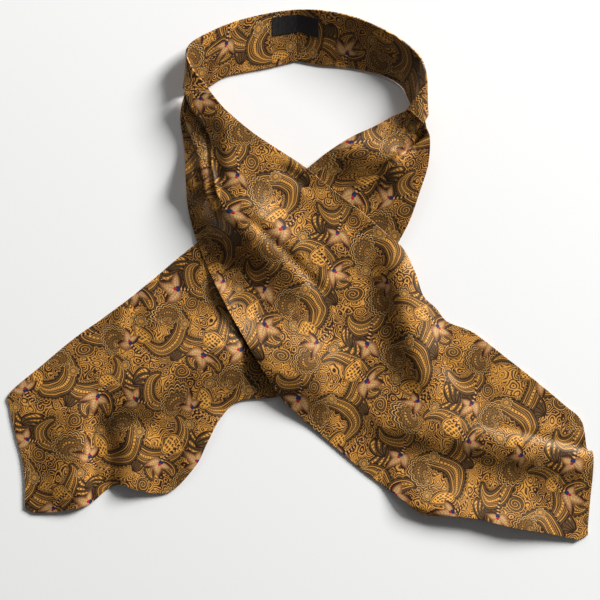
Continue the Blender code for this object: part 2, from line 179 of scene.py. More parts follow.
def cloth_shell(name, surface, cut, wall, finish):
    """A closed shell of cloth round the surface, with soft edges, and the cloth's own flat places.

    Its upper side is the one that the surface faces. In the layer OFBake it takes the left half,
    and the lower side the right half.
    """
    sheet = with_edge_rings(np.concatenate([surface, cut], axis=2))
    surface, cut = sheet[:, :, :3], sheet[:, :, 3:]
    stations, across = surface.shape[:2]
    inset = np.minimum(edge_distance(stations)[:, None], edge_distance(across)[None, :])
    hollow = 1 - np.minimum(inset / (wall / 2), 1.0)
    swell = (1 - hollow**EDGE_SQUARENESS) ** (1 / EDGE_SQUARENESS)
    lift = facing(surface) * swell[:, :, None] * wall / 2
    upper, lower = surface + lift, surface - lift

    count = stations * across
    edge = np.ones((stations, across), bool)
    edge[1:-1, 1:-1] = False
    upper_index = np.arange(count).reshape(stations, across)
    lower_index = np.where(edge, upper_index, 0)
    lower_index[~edge] = count + np.arange((~edge).sum())

    def quads(index):
        return np.stack([index[:-1, :-1], index[1:, :-1], index[1:, 1:], index[:-1, 1:]], axis=2)

    faces = np.concatenate([
        quads(upper_index).reshape(-1, 4), quads(lower_index).reshape(-1, 4)[:, ::-1]
    ])
    points = np.concatenate([upper.reshape(-1, 3), lower[~edge]])
    points = (points + (FRAME_X, FRAME_Y, 0.0)) * MM
    mesh = bpy.data.meshes.new(name)
    mesh.from_pydata(points.tolist(), [], faces.tolist())

    run = run_lengths(surface, 0)
    reach = run_lengths(surface, 1)
    share = np.stack([reach / reach[:, -1:], run / run[-1:]], axis=2)
    corners = np.concatenate([
        quads(upper_index).reshape(-1), quads(upper_index).reshape(-1, 4)[:, ::-1].reshape(-1)
    ])
    room = (0.5 - 2 * BAKE_MARGIN, 1.0 - 2 * BAKE_MARGIN)
    baked = share.reshape(-1, 2)[corners] * room + BAKE_MARGIN
    baked[len(baked) // 2:, 0] += 0.5
    for layer, values in (("cloth", cut.reshape(-1, 2)[corners]), ("OFBake", baked)):
        mesh.uv_layers.new(name=layer).uv.foreach_set("vector", values.astype(np.float32).ravel())
    mesh.shade_smooth()
    mesh.materials.append(finish)
    piece = bpy.data.objects.new(name, mesh)
    bpy.context.scene.collection.objects.link(piece)
    return piece


# The silk's print: a dense paisley of crescents, fans, botehs and drops on a ground of fine
# crawling lines, with sprigs of three dusty leaves and their berries laid over it. It repeats in
# columns, each dropped by half a repeat from the one before it.
REPEAT_WIDE, REPEAT_TALL = 92.0, 80.0

INK = (0.029, 0.009, 0.005)
BARK = (0.086, 0.030, 0.011)
OLIVE = (0.116, 0.064, 0.021)
TAN = (0.325, 0.152, 0.041)
GOLD = (0.590, 0.272, 0.058)
AMBER = (0.790, 0.368, 0.066)
PALE = (0.690, 0.430, 0.165)
ROSEWOOD = (0.075, 0.022, 0.015)
BLUSH = (0.345, 0.150, 0.050)
SHELL = (0.690, 0.400, 0.160)
NAVY = (0.014, 0.026, 0.095)
CHERRY = (0.420, 0.012, 0.025)


class Field:
    """A number that changes over the cloth, so that a pattern is written as ordinary sums."""

    def __init__(self, tree, socket):
        self.tree, self.socket = tree, socket

    def sum(self, operation, *others):
        node = self.tree.nodes.new("ShaderNodeMath")
        node.operation = operation
        for slot, value in zip(node.inputs, (self,) + others):
            if isinstance(value, Field):
                self.tree.links.new(value.socket, slot)
            else:
                slot.default_value = value
        return Field(self.tree, node.outputs[0])

    def __add__(self, other):
        return self.sum("ADD", other)

    def __sub__(self, other):
        return self.sum("SUBTRACT", other)

    def __mul__(self, other):
        return self.sum("MULTIPLY", other)

    def __truediv__(self, other):
        return self.sum("DIVIDE", other)

    def __abs__(self):
        return self.sum("ABSOLUTE")

    __radd__, __rmul__ = __add__, __mul__

    def taken_from(self, value):
        return self.sum("MULTIPLY", -1.0) + value

    def least(self, other):
        return self.sum("MINIMUM", other)

    def most(self, other):
        return self.sum("MAXIMUM", other)

    def rounded(self):
        return (self + 0.5).sum("FLOOR")

    def saw(self):
        """What is left after whole numbers, from 0 to 1."""
        return self.sum("FRACT")

    def tooth(self):
        """The distance from the nearest whole number, from 0 to 0.5."""
        return abs(self - self.rounded())

    def lobe(self):
        """A row of half circles, one to each whole number, from 0 to 1."""
        return abs((self * math.pi).sum("SINE"))

    def ramp(self, low, high):
        """0 at low, 1 at high, straight between them and level outside them."""
        node = self.tree.nodes.new("ShaderNodeMapRange")
        self.tree.links.new(self.socket, node.inputs["Value"])
        node.inputs["From Min"].default_value = low
        node.inputs["From Max"].default_value = high
        return Field(self.tree, node.outputs["Result"])


def new_group(name, takes, gives):
    """A shader group with its sockets: the tree, its inputs as fields, and its output node."""
    tree = bpy.data.node_groups.new(name, "ShaderNodeTree")
    for label, kind, value in takes:
        made = tree.interface.new_socket(label, in_out="INPUT", socket_type=f"NodeSocket{kind}")
        if value is not None:
            made.default_value = value
    for label, kind in gives:
        tree.interface.new_socket(label, in_out="OUTPUT", socket_type=f"NodeSocket{kind}")
    inside = tree.nodes.new("NodeGroupInput")
    outside = tree.nodes.new("NodeGroupOutput")
    return tree, {label: Field(tree, inside.outputs[label]) for label, _, _ in takes}, outside


def put_out(tree, outside, **fields):
    """Joins the fields to the group's outputs, and gives the group."""
    for label, field in fields.items():
        tree.links.new(field.socket, outside.inputs[label.replace("_", " ")])
    return tree


def place_group(tree, group, **values):
    """The group as a node of the tree, with its inputs set or joined. Gives its outputs."""
    node = tree.nodes.new("ShaderNodeGroup")
    node.node_tree = group
    for label, value in values.items():
        slot = node.inputs[label.replace("_", " ")]
        if isinstance(value, Field):
            tree.links.new(value.socket, slot)
        else:
            slot.default_value = value
    return {out.name: Field(tree, out) for out in node.outputs}


def split_place(tree, place):
    """A place's x and y."""
    node = tree.nodes.new("ShaderNodeSeparateXYZ")
    tree.links.new(place.socket, node.inputs[0])
    return Field(tree, node.outputs[0]), Field(tree, node.outputs[1])


def joined_place(tree, x, y):
    """The place at x, y."""
    node = tree.nodes.new("ShaderNodeCombineXYZ")
    tree.links.new(x.socket, node.inputs[0])
    tree.links.new(y.socket, node.inputs[1])
    return Field(tree, node.outputs[0])


def printed_over(tree, under, over, mask):
    """The colour over laid on the colour under, where mask is 1."""
    node = tree.nodes.new("ShaderNodeMix")
    node.data_type = "RGBA"
    tree.links.new(mask.socket, node.inputs[0])
    for slot, colour in ((node.inputs[6], under), (node.inputs[7], over)):
        if isinstance(colour, Field):
            tree.links.new(colour.socket, slot)
        else:
            slot.default_value = (*colour, 1.0)
    return Field(tree, node.outputs[2])


def banded(tree, value, *stops, blend="CONSTANT"):
    """Bands of colour over value, from 0 to 1. Each stop is where its colour starts."""
    node = tree.nodes.new("ShaderNodeValToRGB")
    tree.links.new(value.socket, node.inputs[0])
    ramp = node.color_ramp
    ramp.interpolation = blend
    while len(ramp.elements) < len(stops):
        ramp.elements.new(0.5)
    for element, (at, colour) in zip(ramp.elements, stops):
        element.position = at
        element.color = (*colour, 1.0)
    return Field(tree, node.outputs["Color"])


def layered(tree, depth, deepest, *stops):
    """Bands of colour over depth in millimetres, from 0 to deepest."""
    return banded(tree, depth / deepest, *((at / deepest, colour) for at, colour in stops))


def soft_noise(tree, place, scale, detail=0.0, gives="Fac"):
    """Noise that changes softly over the cloth, from 0 to 1, as one number or as a colour."""
    node = tree.nodes.new("ShaderNodeTexNoise")
    node.noise_dimensions = "2D"
    node.inputs["Scale"].default_value = scale
    node.inputs["Detail"].default_value = detail
    tree.links.new(place.socket, node.inputs["Vector"])
    return Field(tree, node.outputs[gives])


def nearest_mark(tree, place, spacing, randomness):
    """How far the nearest of many scattered marks lies, in shares of their spacing."""
    node = tree.nodes.new("ShaderNodeTexVoronoi")
    node.voronoi_dimensions = "2D"
    node.inputs["Scale"].default_value = 1.0 / spacing
    node.inputs["Randomness"].default_value = randomness
    tree.links.new(place.socket, node.inputs["Vector"])
    return Field(tree, node.outputs["Distance"])


def make_own_place():
    """Where a point of the cloth lies in a figure's own frame, in shares of the figure's size."""
    tree, take, outside = new_group(
        "figure place",
        (("Place", "Vector", None), ("Centre X", "Float", 0.0), ("Centre Y", "Float", 0.0),
         ("Turn", "Float", 0.0), ("Size", "Float", 10.0), ("Hand", "Float", 1.0)),
        (("X", "Float"), ("Y", "Float"), ("Out", "Float"), ("Angle", "Float")),
    )
    x, y = split_place(tree, take["Place"])
    away_x, away_y = x - take["Centre X"], y - take["Centre Y"]
    column = (away_x / REPEAT_WIDE).rounded()
    near_x = away_x - column * REPEAT_WIDE
    dropped = away_y - column * (REPEAT_TALL / 2)
    near_y = dropped - (dropped / REPEAT_TALL).rounded() * REPEAT_TALL
    turn = take["Turn"] * (math.pi / 180)
    cosine, sine = turn.sum("COSINE"), turn.sum("SINE")
    own_x = (near_x * cosine + near_y * sine) / take["Size"]
    own_y = (near_y * cosine - near_x * sine) / take["Size"] * take["Hand"]
    out = (own_x * own_x + own_y * own_y).sum("SQRT")
    return put_out(tree, outside, X=own_x, Y=own_y, Out=out, Angle=own_y.sum("ARCTAN2", own_x))


def leaf_width(along, fatness):
    """Half a leaf's width: round at its base, as wide as fatness, and nothing at its tip."""
    return along.sum("SQRT") * along.taken_from(1.0) * fatness * 2.6


def make_curled_leaf():
    """A comma round the figure's centre, from its round end to its tip.

    Depth is how far inside its edge a point lies, in millimetres; Across runs from -1 to 1
    between its edges and Along from 0 at the round end to 1 at the tip.
    """
    tree, take, outside = new_group(
        "curled leaf",
        (("Out", "Float", 0.0), ("Angle", "Float", 0.0), ("Size", "Float", 10.0),
         ("Sweep", "Float", 4.0), ("Fatness", "Float", 0.5), ("Curl", "Float", 0.45)),
        (("Depth", "Float"), ("Across", "Float"), ("Along", "Float")),
    )
    angle = take["Angle"].sum("FLOORED_MODULO", 2 * math.pi)
    along = angle / take["Sweep"]
    back = angle.taken_from(2 * math.pi) / take["Sweep"].taken_from(2 * math.pi)
    spine = (take["Curl"] * along.least(back.least(1.0))).taken_from(1.0)
    width = leaf_width(along.least(1.0), take["Fatness"])
    off = take["Out"] - spine
    past = (angle - take["Sweep"]).most(0.0).least(angle.taken_from(2 * math.pi))
    depth = (width - abs(off) - past * 0.8) * take["Size"]
    return put_out(tree, outside, Depth=depth, Across=off / width.most(0.02), Along=along)


def make_bent_leaf():
    """A drop from the figure's centre along its X, with a round base and a pointed tip."""
    tree, take, outside = new_group(
        "bent leaf",
        (("X", "Float", 0.0), ("Y", "Float", 0.0), ("Size", "Float", 10.0),
         ("Fatness", "Float", 0.3), ("Bend", "Float", 0.2)),
        (("Depth", "Float"), ("Across", "Float"), ("Along", "Float")),
    )
    along = take["X"].most(0.0).least(1.0)
    width = leaf_width(along, take["Fatness"])
    off = take["Y"] - take["Bend"] * along * along
    beyond = abs(take["X"] - along)
    depth = (width - abs(off) - beyond) * take["Size"]
    return put_out(tree, outside, Depth=depth, Across=off / width.most(0.02), Along=take["X"])


def make_fan():
    """Round-ended blades fanning out of the figure's centre and bending all one way.

    Depth is how far inside a blade's edge a point lies, in millimetres, and Across runs from -0.5
    to 0.5 between a blade's edges. Spread is the angle from the first blade to the last.
    """
    tree, take, outside = new_group(
        "fan",
        (("Out", "Float", 0.0), ("Angle", "Float", 0.0), ("Size", "Float", 10.0),
         ("Blades", "Float", 5.0), ("Spread", "Float", 2.0), ("Bend", "Float", 1.0)),
        (("Depth", "Float"), ("Across", "Float")),
    )
    step = take["Spread"] / take["Blades"]
    turned_by = (take["Angle"] + take["Bend"] * take["Out"]) / step
    last = (take["Blades"] - 1.0) * 0.5
    blade = turned_by.rounded().most(last * -1.0).least(last)
    across = turned_by - blade
    reach = (abs(blade) * 0.11 + across * across * 0.55).taken_from(1.0)
    side = abs(across).taken_from(0.5) * step * take["Out"]
    depth = side.least(reach - take["Out"]) * take["Size"]
    return put_out(tree, outside, Depth=depth, Across=across)


figure_place = make_own_place()
curled_leaf = make_curled_leaf()
bent_leaf = make_bent_leaf()
fan_blades = make_fan()

# Where each figure of the repeat stands, in millimetres and degrees. Hand is -1 for a figure
# turned over. Crescents are long curled leaves lined along their length, botehs are short ones
# with a looped fringe and a rosette, and drops are small, bright and spotted.
PLACE_COLUMNS = ("Centre_X", "Centre_Y", "Turn", "Size", "Hand")
CURL_COLUMNS = PLACE_COLUMNS + ("Sweep", "Fatness", "Curl")
CRESCENTS = (
    (-8.0, 4.0, 340.0, 30.0, 1, 3.3, 0.19, 0.50),
    (30.0, -22.0, 175.0, 25.0, -1, 3.2, 0.21, 0.55),
    (24.0, 30.0, 120.0, 13.0, 1, 4.0, 0.30, 0.50),
    (-34.0, -24.0, 80.0, 17.0, -1, 3.6, 0.26, 0.50),
)
BOTEHS = (
    (-30.0, -2.0, 150.0, 8.5, 1, 4.5, 0.58, 0.60),
    (14.0, -22.0, 320.0, 8.0, -1, 4.5, 0.58, 0.60),
)
FAN_COLUMNS = PLACE_COLUMNS + ("Blades", "Spread", "Bend")
FANS = (
    (-26.0, -38.0, 10.0, 27.0, 1, 5.0, 1.8, 1.0),
    (38.0, 8.0, 160.0, 26.0, -1, 5.0, 1.7, 1.2),
    (-16.0, 36.0, 200.0, 22.0, 1, 3.0, 1.2, 1.0),
)
DROP_COLUMNS = PLACE_COLUMNS + ("Fatness", "Bend")
DROPS = (
    (0.0, 14.0, 95.0, 17.0, 1, 0.34, 0.30),
    (40.0, -18.0, 275.0, 16.0, -1, 0.34, 0.30),
)
ROSETTES = ((-9.0, -15.0, 0.0, 5.0, 1), (40.0, 24.0, 90.0, 4.6, -1))
FLOWERS = ((10.0, -6.0, 10.0, 5.2, 1), (-24.0, 20.0, 30.0, 4.8, 1), (30.0, -34.0, 0.0, 5.0, 1))
PETALS = 9
LEAF_TURN = 1.20  # radians from a sprig's middle leaf to each side leaf
SPRIGS = (
    (14.0, 25.0, 15.0, 15.0, 1),
    (-40.0, 12.0, 255.0, 14.0, -1),
    (-10.0, -33.0, 300.0, 15.0, -1),
)

# No two figures are quite alike, because the print's places drift softly. Each row is a drift's
# scale and its whole span in millimetres.
WARPS = ((0.030, 9.0), (0.085, 1.8))


def make_ground():
    """Fine crawling lines, and lines that echo the nearest figure where one is close."""
    tree, take, outside = new_group(
        "crawling ground", (("Place", "Vector", None), ("Near", "Float", -9.0)), (("Color", "Color"),)
    )
    noise = soft_noise(tree, take["Place"], 0.12, 1.0)
    shade = soft_noise(tree, take["Place"], 0.055)
    cells = nearest_mark(tree, take["Place"], 7.5, 1.0)
    rings = cells * 4.4 + noise * 3.6
    lines = banded(
        tree, rings.tooth() * 2.0 + (shade - 0.5) * 0.7,
        (0.0, INK), (0.24, BARK), (0.38, OLIVE), (0.47, TAN), (0.60, GOLD), (0.90, AMBER),
    )
    away = (take["Near"] * -1.0 + noise * 1.2).most(0.0)
    echoes = layered(
        tree, away, 8.0,
        (0.0, OLIVE), (1.1, INK), (1.6, GOLD), (2.3, INK),
    )
    colour = printed_over(tree, echoes, lines, away.ramp(2.9, 3.0))
    return put_out(tree, outside, Color=colour)


def own_frame(tree, place, columns, values):
    """A figure's own frame, the values that shape it, and its size."""
    sizes = dict(zip(columns, values))
    put = {key: sizes[key] for key in PLACE_COLUMNS}
    shape = {key: sizes[key] for key in columns if key not in PLACE_COLUMNS}
    return place_group(tree, figure_place, Place=place, **put), shape, sizes["Size"]


def curled(tree, place, values):
    """A curled leaf's depth, its across, and how far along it a point lies, in millimetres."""
    own, shape, size = own_frame(tree, place, CURL_COLUMNS, values)
    leaf = place_group(tree, curled_leaf, Out=own["Out"], Angle=own["Angle"], Size=size, **shape)
    return leaf["Depth"], leaf["Across"], leaf["Along"] * (size * shape["Sweep"])


# Each of these draws one figure. It gives the figure's colour, its mask and how deep inside it a
# point lies, in millimetres.
def draw_fan(tree, place, values):
    own, shape, size = own_frame(tree, place, FAN_COLUMNS, values)
    blades = place_group(tree, fan_blades, Out=own["Out"], Angle=own["Angle"], Size=size, **shape)
    depth = blades["Depth"]
    fill = layered(
        tree, depth, 4.0, (0.0, INK), (0.45, OLIVE), (1.25, INK), (1.6, TAN), (2.3, BARK)
    )
    beads = (own["Out"] * (size / 2.4)).tooth().ramp(0.34, 0.28)
    fill = printed_over(tree, fill, AMBER, depth.ramp(1.7, 1.8) * beads)
    return fill, depth.ramp(-0.7, -0.6), depth


def draw_crescent(tree, place, values):
    depth, across, along = curled(tree, place, values)
    lines = banded(
        tree, (abs(across) * 3.6 + along * 0.045).saw(),
        (0.0, INK), (0.18, OLIVE), (0.40, BARK), (0.56, GOLD), (0.78, OLIVE),
    )
    beads = (along / 2.6).tooth().ramp(0.36, 0.30)
    lines = printed_over(tree, lines, AMBER, abs(across).ramp(0.17, 0.13) * beads)
    rim = layered(
        tree, depth + 2.2, 8.0, (0.0, INK), (0.6, OLIVE), (1.5, INK), (2.1, GOLD), (2.9, INK)
    )
    fill = printed_over(tree, rim, lines, depth.ramp(1.1, 1.2))
    edge = depth + (along / 3.4).lobe() * 1.5
    return fill, edge.ramp(-1.6, -1.5), edge + 1.6


def draw_boteh(tree, place, values):
    depth, _, along = curled(tree, place, values)
    edge = depth + (along / 3.0).lobe() * 1.8 + 2.6
    fill = layered(
        tree, edge, 14.0,
        (0.0, INK), (0.5, PALE), (1.1, INK), (2.3, GOLD), (3.2, INK), (3.7, OLIVE), (5.0, INK),
        (5.5, TAN), (6.3, INK), (6.7, OLIVE), (7.6, INK), (8.0, GOLD),
    )
    return fill, edge.ramp(0.0, 0.1), edge


def draw_drop(tree, place, values):
    own, shape, size = own_frame(tree, place, DROP_COLUMNS, values)
    leaf = place_group(tree, bent_leaf, X=own["X"], Y=own["Y"], Size=size, **shape)
    depth = leaf["Depth"]
    seeds = nearest_mark(tree, place, 2.5, 0.35)
    spots = printed_over(tree, INK, TAN, seeds.ramp(0.18, 0.12))
    spots = printed_over(tree, AMBER, spots, seeds.ramp(0.38, 0.34))
    rim = layered(tree, depth + 1.8, 8.0, (0.0, INK), (0.6, GOLD), (1.3, INK), (1.9, AMBER))
    fill = printed_over(tree, rim, spots, depth.ramp(0.7, 0.8))
    return fill, depth.ramp(-1.7, -1.6), depth + 1.7


def draw_rosette(tree, place, values):
    own, _, size = own_frame(tree, place, PLACE_COLUMNS, values)
    coil = (own["Out"] * (size / 2.1) + own["Angle"] / (2 * math.pi)).saw()
    fill = banded(tree, coil, (0.0, INK), (0.26, OLIVE), (0.56, INK), (0.72, GOLD))
    return fill, own["Out"].ramp(1.0, 0.99), own["Out"].taken_from(1.0) * size


def draw_flower(tree, place, values):
    own, _, size = own_frame(tree, place, PLACE_COLUMNS, values)
    petal = (own["Angle"] * (PETALS / (2 * math.pi))).lobe()
    reach = own["Out"] - petal * 0.30
    fill = banded(
        tree, reach + 0.3,
        (0.0, INK), (0.16, AMBER), (0.40, INK), (0.50, TAN), (0.74, INK), (0.82, PALE), (0.93, INK),
    )
    return fill, reach.ramp(0.72, 0.71), reach.taken_from(0.72) * size


FIGURES = (
    (draw_fan, FANS), (draw_crescent, CRESCENTS), (draw_boteh, BOTEHS), (draw_drop, DROPS),
    (draw_rosette, ROSETTES), (draw_flower, FLOWERS),
)


def stalk_over(tree, colour, own, size):
    """A sprig's bent stalk with its row of buds, laid over the colour."""
    bent = abs(own["Y"] - own["X"] * own["X"] * 0.22)
    thick = own["X"] * 0.06 + 0.13
    stalk = (thick - bent).ramp(0.0, 0.01) * own["X"].ramp(0.0, -0.01)
    stalk = stalk * own["X"].ramp(-1.70, -1.69)
    buds = banded(
        tree, (own["X"] * (size / 2.8)).tooth() * 2.0 + (bent / thick) * 0.5,
        (0.0, SHELL), (0.40, BLUSH), (0.62, INK),
    )
    return printed_over(tree, colour, buds, stalk)


def leaves_over(tree, colour, own, size):
    """A sprig's three veined leaves, laid over the colour."""
    leaf_number = (own["Angle"] / LEAF_TURN).rounded().most(-1.0).least(1.0)
    angle = own["Angle"] - leaf_number * LEAF_TURN
    shorter = leaf_number * 0.16 + 1.0 + abs(leaf_number) * 0.22
    leaf = place_group(
        tree, bent_leaf, Size=size, Fatness=0.38, Bend=0.35,
        X=own["Out"] * angle.sum("COSINE") * shorter,
        Y=own["Out"] * angle.sum("SINE") * shorter,
    )
    depth = leaf["Depth"] + (leaf["Along"] * 8.0).lobe() * 0.8
    shade = banded(
        tree, depth / 5.0 - leaf["Across"] * 0.34,
        (0.0, INK), (0.22, ROSEWOOD), (0.58, BLUSH), (1.0, SHELL), blend="LINEAR",
    )
    veins = (leaf["Along"] * 7.0 - abs(leaf["Across"]) * 1.6).tooth().ramp(0.16, 0.06)
    rib = abs(leaf["Across"]).ramp(0.12, 0.05)
    shade = printed_over(tree, shade, ROSEWOOD, veins.most(rib) * 0.45)
    return printed_over(tree, colour, shade, depth.ramp(-0.1, 0.0))


def berry_over(tree, colour, own, size):
    """A sprig's dark berry with its red spot, laid over the colour."""
    berry = (own["Out"] * size).ramp(1.9, 1.8)
    colour = printed_over(tree, colour, NAVY, berry)
    spot = ((own["X"] - 0.15) * (own["X"] - 0.15) + own["Y"] * own["Y"]).sum("SQRT")
    return printed_over(tree, colour, CHERRY, (spot * size).ramp(1.3, 1.2))


def make_print():
    """The whole print, from a place on the flat cloth in millimetres."""
    tree, take, outside = new_group(
        "paisley print", (("Place", "Vector", None),), (("Color", "Color"),)
    )
    place = take["Place"]
    for scale, reach in WARPS:
        drift_x, drift_y = split_place(tree, soft_noise(tree, place, scale, gives="Color"))
        x, y = split_place(tree, place)
        place = joined_place(tree, x + (drift_x - 0.5) * reach, y + (drift_y - 0.5) * reach)
    figures = [draw(tree, place, values) for draw, table in FIGURES for values in table]
    near = figures[0][2]
    for _, _, depth in figures[1:]:
        near = near.most(depth)
    colour = place_group(tree, make_ground(), Place=place, Near=near)["Color"]
    for fill, mask, _ in figures:
        colour = printed_over(tree, colour, fill, mask)
    for values in SPRIGS:
        own, _, size = own_frame(tree, place, PLACE_COLUMNS, values)
        for laid_over in (stalk_over, leaves_over, berry_over):
            colour = laid_over(tree, colour, own, size)
    return put_out(tree, outside, Color=colour)


THREAD_RISE = 0.00006  # metres
THREAD_WIDE, THREAD_LONG = 0.9, 6.0  # millimetres


def make_threads():
    """The height of the threads, uneven from one to the next and along each."""
    tree, take, outside = new_group(
        "uneven threads", (("Place", "Vector", None),), (("Height", "Float"),)
    )
    x, y = split_place(tree, take["Place"])
    weft = soft_noise(tree, joined_place(tree, x / THREAD_LONG, y / THREAD_WIDE), 1.0)
    warp = soft_noise(tree, joined_place(tree, x / THREAD_WIDE, y / THREAD_LONG), 1.0)
    return put_out(tree, outside, Height=weft + warp)


def new_finish(name, roughness, specular):
    """A material with its shader's roughness and specular level set: it, its tree, its shader."""
    material = bpy.data.materials.new(name)
    material.use_nodes = True
    shader = material.node_tree.nodes["Principled BSDF"]
    shader.inputs["Roughness"].default_value = roughness
    shader.inputs["Specular IOR Level"].default_value = specular
    return material, material.node_tree, shader


def cloth_place(tree):
    """Where a point lies on the flat cloth, in millimetres."""
    node = tree.nodes.new("ShaderNodeUVMap")
    node.uv_map = "cloth"
    return Field(tree, node.outputs["UV"])


def raise_relief(tree, shader, height, rise):
    """Bumps the surface by rise metres for each unit of height."""
    bump = tree.nodes.new("ShaderNodeBump")
    bump.inputs["Distance"].default_value = rise
    tree.links.new(height.socket, bump.inputs["Height"])
    tree.links.new(bump.outputs["Normal"], shader.inputs["Normal"])


def make_printed_silk():
    """Silk with a satin sheen and fine uneven threads, printed on the face and seen on the back."""
    material, tree, shader = new_finish("printed_silk", 0.42, 0.50)
    shader.inputs["Specular Tint"].default_value = (1.0, 0.82, 0.58, 1.0)
    place = cloth_place(tree)
    colour = place_group(tree, make_print(), Place=place)["Color"]
    tree.links.new(colour.socket, shader.inputs["Base Color"])
    threads = place_group(tree, make_threads(), Place=place)["Height"]
    raise_relief(tree, shader, threads, THREAD_RISE)
    return material


TWIST_SCALE = 900.0  # of the wave: its ridges lie 0.7 mm apart
STITCH_LONG, STITCH_THICK, STITCH_PITCH = 2.5, 0.55, 3.3  # millimetres
STITCH_SINK = 0.1  # how deep a stitch is drawn into the cloth
STITCH_SIDES, STITCH_RINGS = 10, 8
END_SEAM = 4  # the station at which each end is stitched down, counted back from its edge


def make_gold_thread():
    """Twisted sewing thread."""
    material, tree, shader = new_finish("gold_thread", 0.5, 0.5)
    shader.inputs["Base Color"].default_value = (0.55, 0.24, 0.045, 1.0)
    place = tree.nodes.new("ShaderNodeTexCoord")
    twist = tree.nodes.new("ShaderNodeTexWave")
    twist.bands_direction = "DIAGONAL"
    twist.inputs["Scale"].default_value = TWIST_SCALE
    tree.links.new(place.outputs["Object"], twist.inputs["Vector"])
    raise_relief(tree, shader, Field(tree, twist.outputs["Fac"]), THREAD_RISE)
    return material


def stitch_row(name, line, upward, finish):
    """Short stitches along a line of points, lying on the side of it that upward faces."""
    steps = np.linalg.norm(np.diff(line, axis=0), axis=1)
    run = np.concatenate([[0.0], np.cumsum(steps)])
    starts = np.arange(0.0, run[-1] - STITCH_LONG, STITCH_PITCH)
    rows = bmesh.new()
    for start in starts:
        ends = [
            Vector([np.interp(at, run, line[:, axis]) for axis in range(3)])
            for at in (start, start + STITCH_LONG)
        ]
        lift = Vector([np.interp(start, run, upward[:, axis]) for axis in range(3)]).normalized()
        middle = (ends[0] + ends[1]) / 2 + lift * (STITCH_THICK / 2 - STITCH_SINK)
        turn = (ends[1] - ends[0]).to_track_quat("Z", "Y")
        shape = Matrix.LocRotScale(
            (middle + Vector((FRAME_X, FRAME_Y, 0.0))) * MM, turn,
            Vector((STITCH_THICK, STITCH_THICK, STITCH_LONG)) * (MM / 2),
        )
        bmesh.ops.create_uvsphere(
            rows, u_segments=STITCH_SIDES, v_segments=STITCH_RINGS, radius=1.0, matrix=shape
        )
    mesh = bpy.data.meshes.new(name)
    rows.to_mesh(mesh)
    rows.free()
    mesh.shade_smooth()
    mesh.materials.append(finish)
    piece = bpy.data.objects.new(name, mesh)
    bpy.context.scene.collection.objects.link(piece)
    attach(piece, "root")
    return piece


printed_silk = make_printed_silk()
gold_thread = make_gold_thread()

band_left = band_surface(BAND_LEFT)
band_right = band_surface(BAND_RIGHT)
label_ground = np.concatenate([band_left[::-1], band_right[1:]])  # one surface, left to right
band_left[0, :, 0] -= CENTRE_SEAM_GAP / 2
band_right[0, :, 0] += CENTRE_SEAM_GAP / 2
# Each half is cut from its own stretch of the printed cloth, which begins at start_at.
for side, surface, start_at, flat in (
    ("left", band_left, 40.0, (0.042, 0.122)),
    ("right", band_right[:, ::-1], 300.0, (0.042, 0.140)),
):
    band = cloth_shell(
        f"neckband_{side}_silk", surface, band_cut(surface, start_at), BAND_WALL, printed_silk
    )
    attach(band, "root")
    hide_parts(f"neckband_{side}")
    upward = facing(surface)
    upward *= np.sign(upward[:, :, 2:])
    seam = surface[-END_SEAM] + upward[-END_SEAM] * (BAND_WALL / 2)
    stitches = stitch_row(f"end_stitches_{side}", seam[1:-1], upward[-END_SEAM][1:-1], gold_thread)

# ------------------------------------------------------------------------------------------------
# Label: a short length of charcoal satin ribbon, its ends turned under, sewn to the inside of
# the neckband across the centre-back seam. It is bare.
# ------------------------------------------------------------------------------------------------
LABEL_WALL = 0.5
LABEL_RISE = 1.25  # the ribbon's middle above the band's middle surface
LABEL_LEFT_X, LABEL_RIGHT_X = -25.0, 14.5
LABEL_TOP, LABEL_LOW = 0.10, 0.44  # shares of the band's width down from its top edge
LABEL_SLANT = 0.07  # how much further down its right end lies, past the seam
LABEL_ALONG, LABEL_ACROSS = 60, 24
RIB_PITCH = 1.1  # millimetres from one rib of the weave to the next
RIB_RISE = 0.00012  # metres
FLOAT_LONG, FLOAT_WIDE = 5.0, 0.6  # millimetres


def label_surface():
    """The ribbon's middle surface, lying on the two halves of the band."""
    surface = np.zeros((LABEL_ALONG, LABEL_ACROSS, 3))
    seam_x = label_ground[BAND_STATIONS, 0, 0]
    for i, x in enumerate(np.linspace(LABEL_LEFT_X, LABEL_RIGHT_X, LABEL_ALONG)):
        slant = LABEL_SLANT * max(x - seam_x, 0.0) / (LABEL_RIGHT_X - seam_x)
        for j, share in enumerate(np.linspace(LABEL_TOP, LABEL_LOW, LABEL_ACROSS)):
            at = (share + slant) * (BAND_ACROSS - 1)
            k = min(int(at), BAND_ACROSS - 2)
            line = label_ground[:, k] + (label_ground[:, k + 1] - label_ground[:, k]) * (at - k)
            line = line[np.argsort(line[:, 0])]
            surface[i, j] = [x] + [np.interp(x, line[:, 0], line[:, axis]) for axis in (1, 2)]
    surface[:, :, 2] += LABEL_RISE
    return surface


def make_label_satin():
    """Charcoal satin, its long threads running across the ribbon and catching more or less light."""
    material, tree, shader = new_finish("label_satin", 0.50, 0.30)
    x, y = split_place(tree, cloth_place(tree))
    floats = soft_noise(tree, joined_place(tree, x / FLOAT_LONG, y / FLOAT_WIDE), 1.0)
    weave = floats * 0.6 + (y / RIB_PITCH).lobe() * 0.4
    colour = banded(
        tree, weave, (0.20, (0.006, 0.005, 0.006)), (0.75, (0.032, 0.026, 0.026)), blend="LINEAR"
    )
    tree.links.new(colour.socket, shader.inputs["Base Color"])
    raise_relief(tree, shader, weave, RIB_RISE)
    return material


ribbon = label_surface()
label = cloth_shell(
    "label_ribbon", ribbon, band_cut(ribbon, 0.0), LABEL_WALL, make_label_satin()
)
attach(label, "root")
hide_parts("label")

